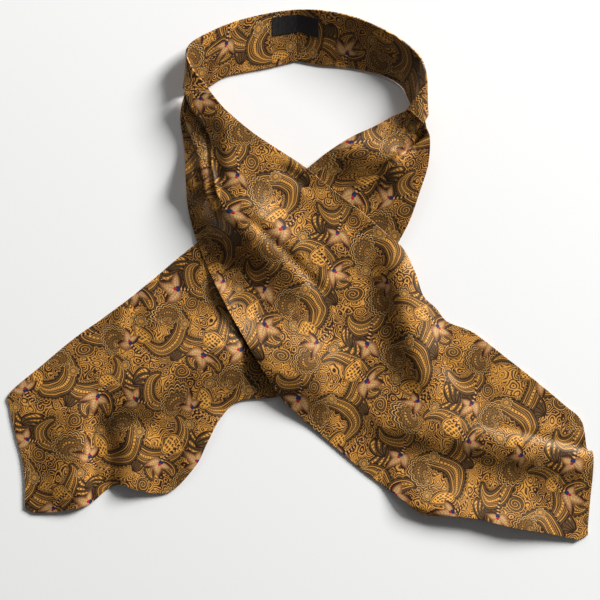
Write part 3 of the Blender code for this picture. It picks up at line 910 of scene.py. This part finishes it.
# ------------------------------------------------------------------------------------------------
# Under blade: one of the two wide ends, cut in one length from two layers of the printed silk,
# sewn round and turned. It is pleated into the right end of the band, and lies on the surface.
# ------------------------------------------------------------------------------------------------
BLADE_WALL = 1.3
LAID_GAP = 0.3  # between cloth that touches
BLADE_STATIONS = 300
FOLD_STEPS = 5  # points on each half of a turned fold
UNDER_PRINT_TURN = 134.0  # degrees that the print is turned by on the flat blade
UNDER_RUNS = (48, 16, 44)  # points along each flat run of the section, between its folds
ROUNDED = 0.42  # share of the shorter side that a fold's rounding takes
LANDING = 1.6  # how softly a falling blade comes to lie on the surface, in millimetres
OPEN_STEP = 0.33  # share of an opened pleat's width that half of each of its two steps takes
TUCK_SLOPE = 0.15  # the turned cloth of a pleat falls by twice this share of a layer
LEAST_PITCH = 0.01  # keeps a section's slopes finite where its pleats lie quite flat

# Each row is a line across the blade from its near edge to its far edge. The over blade's near
# edge carries on the neckline. The under blade's is the outer one, where the top layer of its
# pleats starts. fold_1 and fold_2 say how far along the line each pleat turns under, from 0 to 1,
# tuck_1 and tuck_2 how far the turned cloth runs back, and pitch the height from one layer of
# cloth to the next. A negative tuck is a pleat that has opened out. floor_near and floor_far are
# the heights of the lowest layer at the two edges.
BLADE_COLUMNS = (
    "near_x", "near_y", "far_x", "far_y", "floor_near", "floor_far",
    "fold_1", "tuck_1", "fold_2", "tuck_2", "pitch",
)
UNDER_BLADE = (
    (105.6, 129.3, 92.0, 145.0, 13.4, 14.4, 0.1, 1.4, 2.2),
    (106.2, 125.2, 88.0, 139.9, 12.4, 13.8, 0.1, 1.8, 2.4),
    (109.0, 118.5, 76.5, 135.2, 10.6, 13.8, 0.1, 2.8, 2.8),
    (109.2, 106.0, 62.0, 127.2, 10.0, 14.0, 0.25, 9.0, 2.0),
    (107.3, 91.0, 42.8, 118.2, 9.0, 13.0, 0.33, 9.0, 1.9),
    (101.0, 71.5, 22.0, 105.3, 6.5, 9.0, 0.4, 5.0, 1.9),
    (92.8, 47.5, 4.5, 91.5, 4.8, 4.0, 0.47, -3.0, 1.2),
    (81.0, 25.0, -15.5, 78.5, 2.2, 1.4, 0.5, -10.0, 0.3),
    (65.5, 0.5, -39.5, 62.0, 0.6, 0.4, 0.52, -16.0, 0.0),
    (43.5, -27.0, -63.5, 45.5, -1.4, -1.4, 0.54, -20.0, 0.0),
    (21.0, -56.0, -88.0, 29.0, -1.4, -1.4, 0.56, -24.0, 0.0),
    (2.0, -81.0, -107.0, 14.0, -0.8, -0.8, 0.58, -26.0, 0.0),
    (-17.5, -103.0, -128.0, -4.0, 0.9, 0.75, 0.6, -26.0, 0.0),
    (-52.5, -107.0, -148.5, -20.5, 1.1, 0.75, 0.6, -24.0, 0.0),
    (-69.0, -122.0, -171.5, -37.5, 1.1, 0.75, 0.6, -24.0, 0.0),
    (-80.5, -143.0, -195.0, -54.0, 1.0, 0.8, 0.6, -24.0, 0.0),
    (-91.0, -163.5, -222.5, -77.0, 0.9, 0.9, 0.6, -24.0, 0.0),
    (-113.0, -185.5, -249.8, -100.5, 0.9, 0.9, 0.6, -24.0, 0.0),
    (-137.0, -184.5, -250.0, -113.0, 1.0, 0.8, 0.6, -20.0, 0.0),
    (-154.0, -179.0, -245.3, -136.0, 1.0, 0.75, 0.6, -16.0, 0.0),
    (-166.0, -183.0, -240.0, -155.0, 0.9, 0.75, 0.6, -12.0, 0.0),
    (-184.0, -197.0, -237.3, -173.5, 0.8, 0.75, 0.6, -8.0, 0.0),
    (-212.0, -202.5, -237.0, -190.0, 0.75, 0.75, 0.6, -4.0, 0.0),
    (-229.5, -203.5, -237.0, -199.5, 0.75, 0.75, 0.6, -1.6, 0.0),
)

# The ridges and troughs of the lying cloth: each runs from start through mid to end and fades out
# at both, with its height (below zero for a trough) and how far it spreads to the left and right
# of its line, as seen from its start.
CREASE_COLUMNS = (
    "start_x", "start_y", "mid_x", "mid_y", "end_x", "end_y", "height", "left", "right",
)
CREASE_POINTS = 25
CREASE_FADE = 0.32  # share of a crease's length over which it dies away at each end
UNDER_CREASES = (
    (-16.0, -46.0, -103.0, -82.0, -184.0, -138.0, 14.0, 27.0, 20.0),
    (-171.0, -116.0, -171.0, -158.0, -174.0, -220.0, -4.0, 10.0, 10.0),
    (-190.0, -84.0, -194.0, -150.0, -196.0, -220.0, 8.0, 14.0, 26.0),
    (-147.0, -122.0, -147.0, -162.0, -149.0, -210.0, 7.0, 20.0, 14.0),
    (18.0, 112.0, 62.0, 102.0, 106.0, 88.0, 6.5, 14.0, 17.0),
    (98.0, 150.0, 62.0, 127.0, 0.0, 88.0, -5.0, 8.0, 9.0),
    (118.0, 126.0, 86.0, 104.0, 50.0, 76.0, -4.0, 3.0, 2.6),
    (108.0, 112.0, 80.0, 80.0, 44.0, 52.0, -3.0, 8.0, 10.0),
    (-133.0, 8.0, -130.0, -28.0, -126.0, -62.0, 2.0, 9.0, 9.0),
    (-159.0, -4.0, -155.0, -38.0, -150.0, -72.0, 2.0, 9.0, 9.0),
    (-64.0, -118.0, -84.0, -140.0, -112.0, -190.0, 4.0, 10.0, 12.0),
    (98.0, 150.0, 83.0, 124.0, 62.0, 106.0, -1.0, 2.2, 1.5),
    (100.0, 147.0, 89.0, 122.0, 74.0, 101.0, -1.1, 2.2, 1.5),
    (102.0, 144.0, 94.0, 121.0, 86.0, 99.0, -1.0, 2.2, 1.5),
    (104.0, 141.0, 99.0, 120.0, 96.0, 99.0, -1.0, 2.0, 1.5),
)


def crease_relief(x, y, creases):
    """Height that the ridges and troughs add at each x, y."""
    relief = np.zeros_like(x)
    share = np.linspace(0.0, 1.0, CREASE_POINTS)
    for values in creases:
        c = dict(zip(CREASE_COLUMNS, values))
        line = []
        for axis in "xy":
            start, end = c[f"start_{axis}"], c[f"end_{axis}"]
            bend = 2 * c[f"mid_{axis}"] - (start + end) / 2
            line.append((1 - share) ** 2 * start + 2 * share * (1 - share) * bend + share**2 * end)
        best = np.full(x.shape, np.inf)
        along = np.zeros_like(x)
        spread = np.ones_like(x)
        for i in range(CREASE_POINTS - 1):
            dx, dy = line[0][i + 1] - line[0][i], line[1][i + 1] - line[1][i]
            off_x, off_y = x - line[0][i], y - line[1][i]
            t = np.clip((off_x * dx + off_y * dy) / (dx * dx + dy * dy), 0.0, 1.0)
            apart = np.hypot(off_x - t * dx, off_y - t * dy)
            nearer = apart < best
            best = np.where(nearer, apart, best)
            along = np.where(nearer, (i + t) / (CREASE_POINTS - 1), along)
            side = np.where(dx * off_y - dy * off_x > 0, c["left"], c["right"])
            spread = np.where(nearer, side, spread)
        fade = np.clip(np.minimum(along, 1.0 - along) / CREASE_FADE, 0.0, 1.0)
        fade = fade * fade * (3.0 - 2.0 * fade)
        relief += c["height"] * fade * np.exp(-((best / spread) ** 2))
    return relief


def pleated_section(row, folds, runs):
    """One line across a blade: each point's share of the way across, and its layer."""
    width = np.hypot(row["far_x"] - row["near_x"], row["far_y"] - row["near_y"])
    layer = 2.0 * folds
    corners = [(0.0, layer)]
    for fold in range(1, folds + 1):
        opening = max(-row[f"tuck_{fold}"], 0.0) / width * OPEN_STEP
        outer = row[f"fold_{fold}"]
        inner = outer - row[f"tuck_{fold}"] / width
        corners += [(outer - opening, layer), (outer + opening, layer - 1 + TUCK_SLOPE)]
        corners += [(inner - opening, layer - 1 - TUCK_SLOPE), (inner + opening, layer - 2)]
        layer -= 2.0
    corners.append((1.0, 0.0))
    corners = np.array(corners)
    scale = np.array([width, max(row["pitch"], LEAST_PITCH)])
    points = [corners[0]]
    for i in range(1, len(corners) - 1):
        lengths = [np.hypot(*((corners[i + k] - corners[i]) * scale)) for k in (-1, 1)]
        cut = ROUNDED * min(lengths)
        start = corners[i] + (corners[i - 1] - corners[i]) * cut / lengths[0]
        stop = corners[i] + (corners[i + 1] - corners[i]) * cut / lengths[1]
        if i % 2:
            run = runs[(i - 1) // 2]
            points += [points[-1] + (start - points[-1]) * k / run for k in range(1, run)]
            points.append(start)
        for k in range(1, FOLD_STEPS + 1):
            t = k / FOLD_STEPS
            points.append((1 - t) ** 2 * start + 2 * t * (1 - t) * corners[i] + t**2 * stop)
    run = runs[-1]
    points += [points[-1] + (corners[-1] - points[-1]) * k / run for k in range(1, run + 1)]
    return np.array(points)


def soft_most(height, floor):
    """The greater of the two, with a soft turn where one takes over from the other."""
    over = height - floor
    turn = np.maximum(over + LANDING, 0.0) ** 2 / (4 * LANDING)
    return floor + np.where(over < LANDING, turn, over)


def blade_surface(table, folds, runs, creases, support=None):
    """The middle surface of a blade, as stations x points x 3, and its points' flat places."""
    names = [n for n in BLADE_COLUMNS if folds > 1 or not n.endswith("_2")]
    named = by_name(names, smooth_rows(table, BLADE_STATIONS))
    sections = [
        pleated_section({n: named[n][s] for n in names}, folds, runs)
        for s in range(BLADE_STATIONS)
    ]
    share, layer = np.moveaxis(np.array(sections), 2, 0)
    col = {n: v[:, None] for n, v in named.items()}
    x = col["near_x"] + (col["far_x"] - col["near_x"]) * share
    y = col["near_y"] + (col["far_y"] - col["near_y"]) * share
    floor = col["floor_near"] + (col["floor_far"] - col["floor_near"]) * share
    floor = floor + crease_relief(x, y, creases)
    floor = soft_most(floor, BLADE_WALL / 2)
    if support is not None:
        floor = soft_most(floor, support(x, y) + BLADE_WALL + LAID_GAP)
    z = floor + np.maximum(layer, 0.0) * np.maximum(col["pitch"], 0.0)
    surface = np.stack([x, y, z], axis=2)

    width = np.hypot(col["far_x"] - col["near_x"], col["far_y"] - col["near_y"])
    reach = run_lengths(surface, 1)
    cut = np.stack([
        col["near_x"] + (col["far_x"] - col["near_x"]) / width * reach,
        col["near_y"] + (col["far_y"] - col["near_y"]) / width * reach,
    ], axis=2)
    return surface, cut


def turned(cut, degrees):
    """The flat places turned, so that the print runs along the blade."""
    cosine, sine = math.cos(math.radians(degrees)), math.sin(math.radians(degrees))
    return cut @ np.array(((cosine, sine), (-sine, cosine)))


under_surface, under_cut = blade_surface(UNDER_BLADE, 1, UNDER_RUNS, UNDER_CREASES)
under_blade = cloth_shell(
    "under_blade_silk", under_surface, turned(under_cut, UNDER_PRINT_TURN), BLADE_WALL, printed_silk
)
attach(under_blade, "root")
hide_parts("under_blade")

# ------------------------------------------------------------------------------------------------
# Over blade: the other wide end, made like the under blade. Its two pleats are stitched under the
# left end of the band, and it crosses over the under blade, which carries it.
# ------------------------------------------------------------------------------------------------
OVER_PRINT_TURN = 52.0
OVER_RUNS = (38, 10, 18, 10, 26)
OVER_BLADE = (
    (-76.8, 155.1, -99.8, 156.1, 6.6, 6.0, 0.94, 14.0, 0.97, 13.0, 2.95),
    (-66.3, 142.5, -103.2, 143.0, 5.2, 3.6, 0.74, 17.0, 0.93, 16.0, 3.0),
    (-53.3, 130.3, -103.7, 131.5, 5.5, 2.5, 0.64, 18.0, 0.90, 15.0, 3.0),
    (-37.0, 117.8, -101.5, 118.0, 5.0, 2.0, 0.63, 17.0, 0.88, 14.0, 2.9),
    (-15.5, 104.0, -99.3, 101.0, 4.0, 1.4, 0.73, 15.0, 0.86, 12.0, 2.7),
    (4.5, 91.0, -98.3, 77.0, 3.6, 1.0, 0.765, 10.0, 0.85, 7.0, 2.3),
    (25.5, 74.0, -96.8, 56.0, 3.6, 1.0, 0.76, 1.0, 0.85, -4.0, 1.5),
    (43.5, 60.5, -89.0, 28.0, 3.2, 1.0, 0.72, -12.0, 0.86, -12.0, 0.7),
    (58.5, 48.5, -69.5, -16.5, 2.8, 1.2, 0.66, -18.0, 0.82, -14.0, 0.2),
    (74.0, 34.5, -45.0, -60.5, 2.4, 1.3, 0.58, -20.0, 0.78, -16.0, 0.0),
    (87.0, 22.5, -18.5, -103.0, 2.0, 1.2, 0.50, -20.0, 0.74, -18.0, 0.0),
    (97.0, 2.0, -2.0, -120.0, 1.6, 1.0, 0.44, -20.0, 0.70, -18.0, 0.0),
    (104.0, -17.5, 14.5, -135.0, 1.3, 0.9, 0.40, -20.0, 0.66, -18.0, 0.0),
    (115.0, -28.0, 24.5, -143.5, 1.2, 0.8, 0.39, -20.0, 0.65, -18.0, 0.0),
    (125.0, -39.5, 34.5, -152.0, 1.2, 0.8, 0.38, -20.0, 0.64, -18.0, 0.0),
    (147.5, -49.0, 53.0, -167.5, 1.2, 0.75, 0.36, -20.0, 0.62, -20.0, 0.0),
    (175.0, -70.0, 74.0, -183.0, 1.1, 0.75, 0.34, -20.0, 0.60, -20.0, 0.0),
    (200.5, -90.0, 89.5, -194.5, 1.0, 0.75, 0.34, -20.0, 0.60, -20.0, 0.0),
    (225.5, -111.0, 105.0, -205.0, 1.0, 0.75, 0.34, -20.0, 0.60, -20.0, 0.0),
    (240.0, -124.5, 125.5, -205.5, 1.0, 0.9, 0.34, -18.0, 0.60, -18.0, 0.0),
    (244.5, -148.0, 150.0, -208.0, 1.0, 1.0, 0.34, -14.0, 0.60, -14.0, 0.0),
    (249.5, -151.5, 162.0, -211.0, 1.0, 1.0, 0.34, -13.0, 0.60, -13.0, 0.0),
    (249.5, -168.5, 182.0, -216.0, 0.9, 1.0, 0.34, -10.0, 0.60, -10.0, 0.0),
    (247.5, -192.5, 207.0, -220.0, 0.8, 0.9, 0.34, -6.0, 0.60, -6.0, 0.0),
    (245.5, -214.5, 228.5, -224.5, 0.75, 0.8, 0.34, -2.6, 0.60, -2.6, 0.0),
    (245.5, -222.5, 237.0, -226.5, 0.75, 0.75, 0.34, -1.6, 0.60, -1.6, 0.0),
)
OVER_CREASES = (
    (-118.0, 104.0, -73.0, 61.0, -9.0, -11.0, 14.0, 38.0, 15.0),
    (-70.0, 74.0, -18.0, 22.0, 34.0, -38.0, 8.0, 26.0, 26.0),
    (-62.0, 60.0, -13.0, 19.0, 34.0, -34.0, -3.0, 5.0, 5.0),
    (-80.0, 14.0, -56.0, -48.0, 14.0, -138.0, 6.0, 13.0, 10.0),
    (-50.0, -40.0, -12.0, -76.0, 46.0, -112.0, 12.5, 36.0, 21.0),
    (-14.0, 80.0, 24.0, 46.0, 34.0, 0.0, 4.0, 26.0, 26.0),
    (76.0, 60.0, 91.0, -36.0, 122.0, -128.0, 12.5, 22.0, 17.0),
    (104.0, -66.0, 138.0, -84.0, 180.0, -99.0, -3.0, 8.0, 10.0),
    (36.0, -118.0, 136.0, -138.0, 300.0, -176.0, 8.5, 24.0, 16.0),
    (130.0, -124.0, 205.0, -138.0, 290.0, -160.0, -2.0, 5.0, 5.0),
    (60.0, -182.0, 140.0, -208.0, 262.0, -232.0, 8.0, 22.0, 8.0),
    (-28.0, 94.0, -6.0, 84.0, 14.0, 64.0, -2.0, 5.0, 5.0),
    (-82.0, 140.0, -75.0, 104.0, -64.0, 60.0, -3.5, 7.0, 5.0),
    (-66.0, 146.0, -61.0, 110.0, -63.0, 66.0, 4.0, 22.0, 10.0),
    (-92.0, 172.0, -34.0, 114.0, 22.0, 70.0, 5.0, 10.0, 32.0),
)
MAP_STEP = 3.0  # between the places where the cloth underneath is measured
MAP_MARGIN = 24.0
MAP_SPREAD, MAP_SMOOTH = 4, 4  # steps that its height is carried outwards, and rounds of smoothing
NO_CLOTH = -3.0  # the height noted where there is none underneath
RAY_START = 100.0  # above all the cloth


def neighbours(heights):
    """The four neighbours of each place of the map."""
    padded = np.pad(heights, 1, mode="edge")
    return padded[:-2, 1:-1], padded[2:, 1:-1], padded[1:-1, :-2], padded[1:-1, 2:]


def heights_of(surface):
    """A function giving the softened height of the surface at each x, y, and round its edge."""
    stations, across = surface.shape[:2]
    index = np.arange(stations * across).reshape(stations, across)
    quads = np.stack([index[:-1, :-1], index[:-1, 1:], index[1:, 1:], index[1:, :-1]], axis=2)
    tree = BVHTree.FromPolygons(surface.reshape(-1, 3).tolist(), quads.reshape(-1, 4).tolist())
    low, high = surface.min(axis=(0, 1)) - MAP_MARGIN, surface.max(axis=(0, 1)) + MAP_MARGIN
    places_x, places_y = (np.arange(low[axis], high[axis], MAP_STEP) for axis in (0, 1))
    heights = np.full((len(places_x), len(places_y)), NO_CLOTH)
    for i, j in np.ndindex(heights.shape):
        hit = tree.ray_cast(Vector((places_x[i], places_y[j], RAY_START)), Vector((0, 0, -1)))[0]
        if hit is not None:
            heights[i, j] = hit.z
    for _ in range(MAP_SPREAD):
        heights = np.maximum.reduce([heights, *neighbours(heights)])
    for _ in range(MAP_SMOOTH):
        heights = sum(neighbours(heights)) / 4

    def height(x, y):
        at_x = np.clip((x - low[0]) / MAP_STEP, 0.0, len(places_x) - 1.001)
        at_y = np.clip((y - low[1]) / MAP_STEP, 0.0, len(places_y) - 1.001)
        i, j = at_x.astype(int), at_y.astype(int)
        t, u = at_x - i, at_y - j
        near = heights[i, j] * (1 - t) + heights[i + 1, j] * t
        return near * (1 - u) + (heights[i, j + 1] * (1 - t) + heights[i + 1, j + 1] * t) * u

    return height


over_surface, over_cut = blade_surface(
    OVER_BLADE, 2, OVER_RUNS, OVER_CREASES, heights_of(under_surface)
)
over_blade = cloth_shell(
    "over_blade_silk", over_surface, turned(over_cut, OVER_PRINT_TURN), BLADE_WALL, printed_silk
)
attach(over_blade, "root")
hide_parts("over_blade")

# ------------------------------------------------------------------------------------------------
# Table, light and camera: the cravat lies on a plain white table, lit by one large soft lamp at
# the upper right and a weaker one behind the neckband, and is seen from straight above.
# ------------------------------------------------------------------------------------------------
TABLE_HALF = 4.0  # metres, as are the lamps' places and sides
CAMERA_PLACE = (-0.00062, -0.02135, 1.7155)


def make_table():
    mesh = bpy.data.meshes.new("table_top")
    corners = [(x * TABLE_HALF, y * TABLE_HALF, 0.0) for x, y in ((-1, -1), (1, -1), (1, 1), (-1, 1))]
    mesh.from_pydata(corners, [], [(0, 1, 2, 3)])
    material, _, shader = new_finish("table_white", 0.9, 0.1)
    shader.inputs["Base Color"].default_value = (0.97, 0.97, 0.96, 1.0)
    mesh.materials.append(material)
    table = bpy.data.objects.new("table_top", mesh)
    bpy.context.scene.collection.objects.link(table)


def add_lamp(name, place, side, power):
    """A square lamp that faces the middle of the table."""
    lamp = bpy.data.lights.new(name, "AREA")
    lamp.size = side
    lamp.energy = power
    holder = bpy.data.objects.new(name, lamp)
    holder.location = place
    holder.rotation_euler = (-Vector(place)).to_track_quat("-Z", "Y").to_euler()
    bpy.context.scene.collection.objects.link(holder)


make_table()
add_lamp("key_lamp", (3.75, 3.38, 2.37), 1.92, 585.0)
add_lamp("back_lamp", (-0.40, 3.00, 1.60), 1.40, 20.0)

world = bpy.data.worlds.new("studio")
world.use_nodes = True
glow = world.node_tree.nodes["Background"]
glow.inputs["Color"].default_value = (1.0, 1.0, 1.0, 1.0)
glow.inputs["Strength"].default_value = 0.08
bpy.context.scene.world = world
bpy.context.scene.view_settings.view_transform = "Standard"

camera_data = bpy.data.cameras.new("camera")
camera_data.sensor_width = 36.0
camera_data.lens = 120.0
camera = bpy.data.objects.new("camera", camera_data)
camera.location = CAMERA_PLACE
bpy.context.scene.collection.objects.link(camera)
bpy.context.scene.camera = camera
